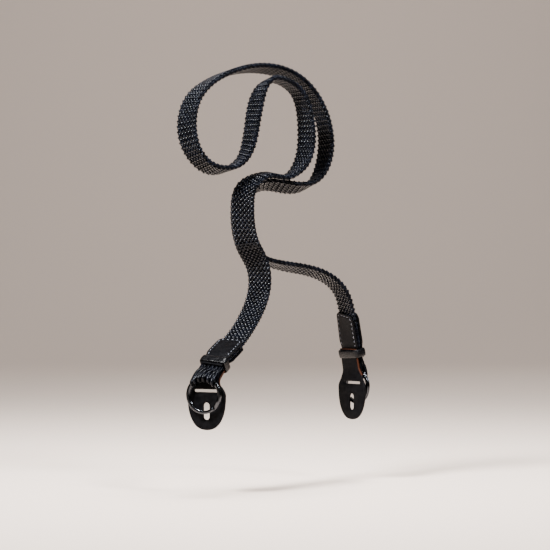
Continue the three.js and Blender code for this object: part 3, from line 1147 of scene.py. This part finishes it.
@dataclass
class TabLeather:
    """One leather of a tab, sewn to the braid along its edge; sizes in millimetres."""

    anchor: Anchor
    face: Face
    finishes: Finishes
    rim: float = 0.5
    groove_depth: float = 0.16
    groove_reach: float = 0.35
    puffed: float = 0.18
    puff_reach: float = 4.5
    groove_starts: tuple[float, float] = (2.2, 4.0)
    stitch_from: float = 4.0
    stitch_offset: float = 0.12
    stitch_sunk: float = 0.04
    stitch_height: float = 0.3
    stitch_share: float = 0.46
    stitch_points: int = 6
    rows: int = 70
    columns: int = 29

    def surface(self, distance: Array, share: Array, side: float) -> Array:
        """Points of the leather's face.

        Args:
            distance: Distances from the ring.
            share: Places from edge to edge, -1 to 1, of shape (..., distances).
            side: 1 for the face away from the braid, -1 for the one against it.

        Returns:
            Points in millimetres. The face rounds off to nothing at the rim and dips along the stitches.
        """
        low = self.anchor.keeper_at - LEATHER.below_keeper
        half = self.anchor.leather_half_width(distance)
        wide = share * half
        to_edge = half - np.abs(wide)
        to_end = np.minimum(LEATHER.end - distance, distance - low)
        rim = np.minimum(to_edge, to_end)
        rounded = np.sqrt(np.clip(1 - (1 - np.clip(rim / self.rim, 0, 1)) ** 2, 0, 1))
        groove = self.groove_depth * np.exp(-(((rim - LEATHER.stitch_inset) / self.groove_reach) ** 2))
        groove = groove * smooth(*self.groove_starts, distance - low)
        puff = self.puffed * smooth(self.rim, self.puff_reach, rim)
        layer = self.anchor.braid_half_thickness(distance) + GAP + LEATHER.thickness / 2
        high = side * LEATHER.thickness / 2 * rounded
        if side > 0:
            high = high - groove * rounded + puff
        return self.anchor.frames(distance).at(wide, self.face.value * (layer + high))

    def build(self) -> None:
        """Makes the leather and its stitches."""
        low = self.anchor.keeper_at - LEATHER.below_keeper
        turn = np.linspace(0, np.pi, self.rows)
        distance = mix(low, LEATHER.end, (1 - np.cos(turn)) / 2)
        share = np.sin(np.linspace(-np.pi / 2, np.pi / 2, self.columns))[:, None] * np.ones_like(distance)
        top = self.surface(distance, share, 1)
        under = self.surface(distance, share[::-1], -1)[1:-1]
        rings = np.concatenate([top, under]).transpose(1, 0, 2)
        name = f"{self.anchor.name}_{self.face.name.lower()}_leather"
        piece = swept_piece(f"{name}_piece", rings, self.finishes.leather)
        finished(piece, "leather", name)
        self.stitches(name)

    def stitches(self, name: str) -> None:
        """One row of stitches that follows the leather's edge, round its free end.

        Args:
            name: The leather's name.
        """
        inset = LEATHER.stitch_inset
        first = self.anchor.keeper_at + self.stitch_from
        straight_end = LEATHER.end - LEATHER.corner
        side = LEATHER.half_width - inset
        radius = LEATHER.corner - inset
        flat = LEATHER.half_width - LEATHER.corner
        up = np.linspace(first, straight_end, 40)
        edge = self.anchor.leather_half_width(up) - inset
        angle = np.linspace(0, np.pi / 2, 12)[1:]
        corner = np.stack([flat + radius * np.cos(angle), straight_end + radius * np.sin(angle)], -1)
        right = np.vstack([np.stack([np.minimum(edge, side), up], -1), corner])
        outline = np.vstack([right, right[::-1] * (-1, 1)])
        length = run_length(outline)
        count = round(length[-1] / LEATHER.stitch_pitch)
        starts = (np.arange(count) + self.stitch_offset) * length[-1] / count
        marks = starts[:, None] + np.linspace(0, self.stitch_share, self.stitch_points) * length[-1] / count
        wide, distance = (np.interp(marks, length, c) for c in outline.T)
        share = wide / self.anchor.leather_half_width(distance.ravel()).reshape(distance.shape)
        arch = self.stitch_height * np.sin(np.linspace(0, np.pi, self.stitch_points)) - self.stitch_sunk
        lines, facing = np.empty((*marks.shape, 3)), np.empty((*marks.shape, 3))
        for i in range(count):
            frames = self.anchor.frames(distance[i])
            facing[i] = frames.out * self.face.value
            lines[i] = self.surface(distance[i], share[i], 1) + facing[i] * arch[:, None]
        piece = yarn_piece(f"{name}_stitches", lines, facing, Yarn(0.2, 0.2), self.finishes.thread,
                           np.full(count, 0.5))
        finished(piece, "leather")


@dataclass
class Keeper:
    """A glossy leather band wrapped round the tab's waist."""

    anchor: Anchor
    finishes: Finishes
    corner: float = 0.8
    squareness: float = 0.8

    def build(self) -> None:
        """Makes the band: a rounded rectangle in the section's plane, puffed between its two rims."""
        outer = BRAID.folded / 2 + GAP + LEATHER.thickness + GAP
        inner = outer + GUARD.thickness + GAP
        half_wide, half_high = BRAID.waist / 2 + GAP, (outer + inner) / 2
        middle = (outer - inner) / 2
        path, normal = self._outline(half_wide, half_high, self.corner)
        angle = np.linspace(0, math.tau, 18, endpoint=False)
        width, wall = LEATHER.keeper_width / 2, LEATHER.keeper_wall / 2
        up = width * squared(np.cos(angle), self.squareness)
        out = wall * (1 + np.sin(angle))
        frames = self.anchor.frames(np.array([self.anchor.keeper_at]))
        plane = path[:, None] + normal[:, None] * out[None, :, None]
        rings = (
            frames.origin + plane[..., :1] * frames.across + (plane[..., 1:] + middle) * frames.out
            + up[None, :, None] * frames.along
        )
        piece = swept_piece(f"{self.anchor.name}_keeper_band", rings, self.finishes.polished, closed=True)
        finished(piece, "leather", f"{self.anchor.name}_keeper")

    @staticmethod
    def _outline(half_wide: float, half_high: float, radius: float) -> tuple[Array, Array]:
        """A rectangle with round corners.

        Args:
            half_wide: Half of its width.
            half_high: Half of its height.
            radius: Its corners' radius.

        Returns:
            Its points and their outward directions.
        """
        quarter = np.linspace(0, np.pi / 2, 9)
        points, normals = [], []
        for k, (sx, sy) in enumerate(((1, 1), (-1, 1), (-1, -1), (1, -1))):
            angle = quarter + k * np.pi / 2
            direction = np.stack([np.cos(angle), np.sin(angle)], -1)
            middle = np.array([sx * (half_wide - radius), sy * (half_high - radius)])
            points.append(middle + radius * direction)
            normals.append(direction)
        return np.vstack(points), np.vstack(normals)


@dataclass
class SplitRing:
    """Two flat turns of square-edged wire with one step between them; angles in degrees."""

    anchor: Anchor
    finishes: Finishes
    opening: float = 16.0
    split_at: float = -35.0
    squareness: float = 0.5
    stations: int = 260
    corners: int = 16

    def build(self) -> None:
        """Makes the wire: its section is a rounded square that follows two turns of a circle."""
        opening = math.radians(self.opening)
        turned = np.linspace(opening, 2 * math.tau - opening, self.stations)
        shift = (RING.wire + RING.split) / 2
        axial = mix(-shift, shift, smooth(math.tau - opening * 0.8, math.tau + opening * 0.8, turned))
        angle = np.linspace(0, math.tau, self.corners, endpoint=False)
        radial = (RING.outer - RING.inner) / 2 * squared(np.cos(angle), self.squareness)
        thick = RING.wire / 2 * squared(np.sin(angle), self.squareness)
        ring_angle = math.radians(self.split_at) + turned
        round_way = (
            self.anchor.ring_across * np.cos(ring_angle)[:, None] + UP * np.sin(ring_angle)[:, None]
        )
        centre = self.anchor.origin + UP * RING.outer
        rings = (
            centre + round_way[:, None] * (RING.mean + radial)[None, :, None]
            - self.anchor.inward * (axial[:, None] + thick[None, :])[..., None]
        )
        piece = swept_piece(f"{self.anchor.name}_ring_wire", rings, self.finishes.metal)
        finished(piece, "ring", f"{self.anchor.name}_split_ring", sharp=50)


@dataclass
class Guard:
    """The leather shield behind the ring, whose tongue bends up under the keeper."""

    anchor: Anchor
    finishes: Finishes
    bevel: float = 0.35
    leans: tuple[float, float] = (3.0, 9.0)
    shoulder_power: float = 1.6
    narrows_within: float = 0.36
    turns_within: tuple[float, float] = (0.1, 0.9)
    raw_rim: float = 0.3
    raw_from: float = 2.0
    arc_steps: int = 24
    cuts: int = 25

    @property
    def depth(self) -> float:
        """How far behind the ring the middle of the leather lies."""
        return RING.wire + GAP + NECK.wall + GAP + GUARD.thickness / 2

    @cached_property
    def bend(self) -> tuple[Array, Array]:
        """The tongue's middle line, and the length to each of its points."""
        top = self.anchor.keeper_at + GUARD.tongue_above_keeper
        frames = self.anchor.frames(np.array([top]))
        layer = BRAID.folded / 2 + 2 * GAP + LEATHER.thickness + GUARD.thickness / 2
        start = self.anchor.origin + UP * GUARD.flat_top + self.anchor.inward * self.depth
        finish = frames.origin[0] - layer * frames.out[0]
        up, back = self.leans
        line = bezier((start, start + UP * up, finish - frames.along[0] * back, finish), 80)
        return line, run_length(line)

    def half_width(self, height: Array) -> Array:
        """Half of the flat pattern's width.

        Args:
            height: Heights in the flat pattern, above the ring's lowest point.

        Returns:
            Half widths: a full curve below the widest place, a shoulder above it, then the tongue.
        """
        below = np.clip((GUARD.widest_at - height) / (GUARD.widest_at - GUARD.bottom), 0, 1)
        curve = GUARD.half_width * (1 - below**GUARD.fullness) ** (1 / GUARD.fullness)
        above = np.clip((height - GUARD.widest_at) / (GUARD.flat_top - GUARD.widest_at), 0, 1)
        shoulder = (GUARD.half_width - GUARD.shoulder) * above**self.shoulder_power
        up = (height - GUARD.flat_top) / self.bend[1][-1]
        return curve - shoulder - (GUARD.shoulder - GUARD.tongue_half_width) * smooth(0, self.narrows_within, up)

    def build(self) -> None:
        """Cuts the flat pattern with its slit and slot, rounds its edges and bends it."""
        reach = self.bend[1][-1]
        turn = np.linspace(0, np.pi / 2, self.arc_steps)
        low = GUARD.widest_at - (GUARD.widest_at - GUARD.bottom) * np.cos(turn)
        high = np.linspace(GUARD.flat_top, GUARD.flat_top + reach, self.arc_steps)
        shoulder = np.linspace(GUARD.widest_at, GUARD.flat_top, 7)[1:-1]
        heights = np.concatenate([low, shoulder, high])
        right = np.stack([self.half_width(heights), heights], -1)
        outline = np.vstack([right, right[1:][::-1] * (-1, 1)])
        mesh = self._plate([outline, self._slot(*GUARD.slit), self._slot(*GUARD.slot)])
        flat = np.empty(len(mesh.vertices) * 3)
        mesh.vertices.foreach_get("co", flat)
        flat = flat.reshape(-1, 3)
        mesh.vertices.foreach_set("co", (self._bent(flat) * MM).ravel())
        edge = np.abs(flat[:, 0]) > self.half_width(flat[:, 1]) - self.raw_rim
        raw = (edge & (flat[:, 1] > GUARD.flat_top + self.raw_from)).astype(np.float32)
        layer = mesh.attributes.new("raw", "FLOAT", "POINT")
        layer.data.foreach_set("value", raw)
        mesh.materials.append(self.finishes.leather)
        mesh.polygons.foreach_set("use_smooth", np.ones(len(mesh.polygons), bool))
        mesh.update()
        piece = linked(mesh.name, mesh)
        finished(piece, "leather", f"{self.anchor.name}_guard", sharp=40)

    @staticmethod
    def _slot(width: float, height: float, at: float) -> Array:
        """Outline of a slot with round ends whose middle lies at the height at."""
        points, _ = Keeper._outline(width / 2, height / 2, min(width, height) / 2)
        return points + (0, at)

    def _plate(self, loops: list[Array]) -> bpy.types.Mesh:
        """A flat plate with holes and rounded rims, cut across so that it can bend.

        Args:
            loops: The outline, then the holes, in millimetres.

        Returns:
            A mesh in millimetres: x across, y up, z through the leather.
        """
        curve = bpy.data.curves.new("guard_pattern", "CURVE")
        curve.dimensions = "2D"
        curve.fill_mode = "BOTH"
        curve.extrude = GUARD.thickness / 2 - self.bevel
        curve.bevel_depth = self.bevel
        curve.bevel_resolution = 3
        curve.offset = -self.bevel
        for loop in loops:
            spline = curve.splines.new("POLY")
            spline.points.add(len(loop) - 1)
            places = np.column_stack([loop, np.zeros(len(loop)), np.ones(len(loop))])
            spline.points.foreach_set("co", places.ravel())
            spline.use_cyclic_u = True
        holder = linked("guard_pattern", curve)
        mesh = bpy.data.meshes.new_from_object(holder.evaluated_get(bpy.context.evaluated_depsgraph_get()))
        bpy.data.objects.remove(holder)
        bpy.data.curves.remove(curve)
        body = bmesh.new()
        body.from_mesh(mesh)
        bmesh.ops.remove_doubles(body, verts=body.verts, dist=1e-4)
        reach = self.bend[1][-1]
        for height in np.linspace(GUARD.flat_top, GUARD.flat_top + reach, self.cuts, endpoint=False):
            bmesh.ops.bisect_plane(
                body, geom=[*body.verts, *body.edges, *body.faces], plane_co=(0, float(height), 0),
                plane_no=(0, 1, 0), dist=1e-5,
            )
        bmesh.ops.recalc_face_normals(body, faces=body.faces)
        body.to_mesh(mesh)
        body.free()
        mesh.materials.clear()
        mesh.name = f"{self.anchor.name}_guard_leather"
        return mesh

    def _bent(self, flat: Array) -> Array:
        """Bends the flat pattern.

        Args:
            flat: Points of the plate.

        Returns:
            Points in millimetres: upright below the bend, along the tongue's line above it.
        """
        across, inward = self.anchor.ring_across, self.anchor.inward
        upright = (
            self.anchor.origin + flat[:, :1] * across + flat[:, 1:2] * UP
            + (self.depth - flat[:, 2:]) * inward
        )
        line, length = self.bend
        s = np.clip(flat[:, 1] - GUARD.flat_top, 0, length[-1])
        middle = read(line, length, s)
        along = unit(read(unit(np.gradient(line, axis=0)), length, s))
        top = self.anchor.frames(np.array([self.anchor.keeper_at + GUARD.tongue_above_keeper]))
        share = smooth(*self.turns_within, s / length[-1])[:, None]
        wide = -across * (1 - share) + top.across * share
        wide = unit(wide - along * np.sum(wide * along, axis=1, keepdims=True))
        out = np.cross(along, wide)
        bent = middle - flat[:, :1] * wide + flat[:, 2:] * out
        return np.where((flat[:, 1] > GUARD.flat_top)[:, None], bent, upright)


@dataclass
class StrapEnd:
    """Everything that one end adds to the braid."""

    anchor: Anchor
    finishes: Finishes

    def build(self) -> None:
        """Makes the end's pieces."""
        Neck(self.anchor, self.finishes).build()
        for face in Face:
            TabLeather(self.anchor, face, self.finishes).build()
        Keeper(self.anchor, self.finishes).build()
        SplitRing(self.anchor, self.finishes).build()
        Guard(self.anchor, self.finishes).build()


# The stage


@dataclass
class Stage:
    """A pale sweep, soft lights and the picture's camera; sizes in metres."""

    finishes: Finishes
    floor: float = -0.045
    camera_at: tuple[float, float, float] = (0.0385, -1.25, 0.0834)
    camera_down: float = 0.372
    lens: float = 151.3

    def build(self) -> None:
        """Makes the sweep, the lights, the world and the camera."""
        self._sweep()
        self._light("key softbox", (-0.7, -0.85, 1.15), (0.03, 0.04, 0.1), 0.32, 9.0, 50)
        self._light("fill softbox", (0.75, -0.8, 0.95), (0.04, 0.04, 0.1), 0.32, 4.0, 50)
        self._light("top softbox", (0.1, 0.1, 1.3), (0.04, 0.05, 0.1), 0.4, 5.0, 60)
        self._light("backdrop light", (0.0, 0.7, 1.5), (0.0, 2.4, 0.1), 1.2, 25.0, 150)
        self._world()
        self._camera()

    def _sweep(self) -> None:
        """A floor that curves up into a backdrop: a straight, a quarter circle and a straight."""
        radius, far, top, half = 0.8, 1.6, 3.0, 3.0
        turn = np.linspace(0, np.pi / 2, 24)
        y = np.concatenate([[-3.0], far + radius * np.sin(turn), [far + radius]])
        z = np.concatenate([[0.0], radius * (1 - np.cos(turn)), [top]]) + self.floor
        x = np.array([-half, half])
        points = np.stack(np.broadcast_arrays(x[None, :], y[:, None], z[:, None]), -1).reshape(-1, 3)
        i = np.arange(len(y) - 1)[:, None]
        faces = np.hstack([2 * i, 2 * i + 1, 2 * i + 3, 2 * i + 2])
        mesh = bpy.data.meshes.new("backdrop_sweep")
        mesh.from_pydata(points.tolist(), [], faces.tolist())
        mesh.polygons.foreach_set("use_smooth", np.ones(len(faces), bool))
        mesh.materials.append(self.finishes.backdrop)
        sweep = linked("backdrop_sweep", mesh)

    @staticmethod
    def _light(
        name: str, at: tuple[float, ...], to: tuple[float, ...], size: float, power: float, spread: float
    ) -> None:
        """Adds a square soft light.

        Args:
            name: Its name.
            at: Its place.
            to: The point it faces.
            size: Its side in metres.
            power: Its power in watts.
            spread: The angle that it lights, in degrees.
        """
        data = bpy.data.lights.new(name, "AREA")
        data.size, data.energy, data.spread = size, power, math.radians(spread)
        direction = np.array(to) - np.array(at)
        back = unit(-direction)
        side = unit(np.cross(UP, back))
        turned = Matrix(np.column_stack([side, np.cross(back, side), back]).tolist()).to_4x4()
        turned.translation = at
        linked(name, data).matrix_world = turned

    @staticmethod
    def _world() -> None:
        """A dim even sky."""
        world = bpy.data.worlds.new("studio")
        world.use_nodes = True
        background = world.node_tree.nodes["Background"]
        background.inputs["Color"].default_value = linear("#e8eaee")
        background.inputs["Strength"].default_value = 0.05
        bpy.context.scene.world = world

    def _camera(self) -> None:
        """The picture's camera: level along +Y, pitched slightly down."""
        data = bpy.data.cameras.new("picture camera")
        data.lens, data.sensor_width = self.lens, 36.0
        data.clip_start, data.clip_end = 0.05, 20.0
        camera = linked("picture camera", data)
        camera.location = self.camera_at
        camera.rotation_euler = (math.radians(90 - self.camera_down), 0.0, 0.0)
        bpy.context.scene.camera = camera


def main() -> None:
    """Builds the strap and its stage."""
    finishes = Finishes()
    BraidedStrap(finishes).build()
    for anchor in (LEFT, RIGHT):
        StrapEnd(anchor, finishes).build()
    Stage(finishes).build()


if __name__ == "__main__":
    main()
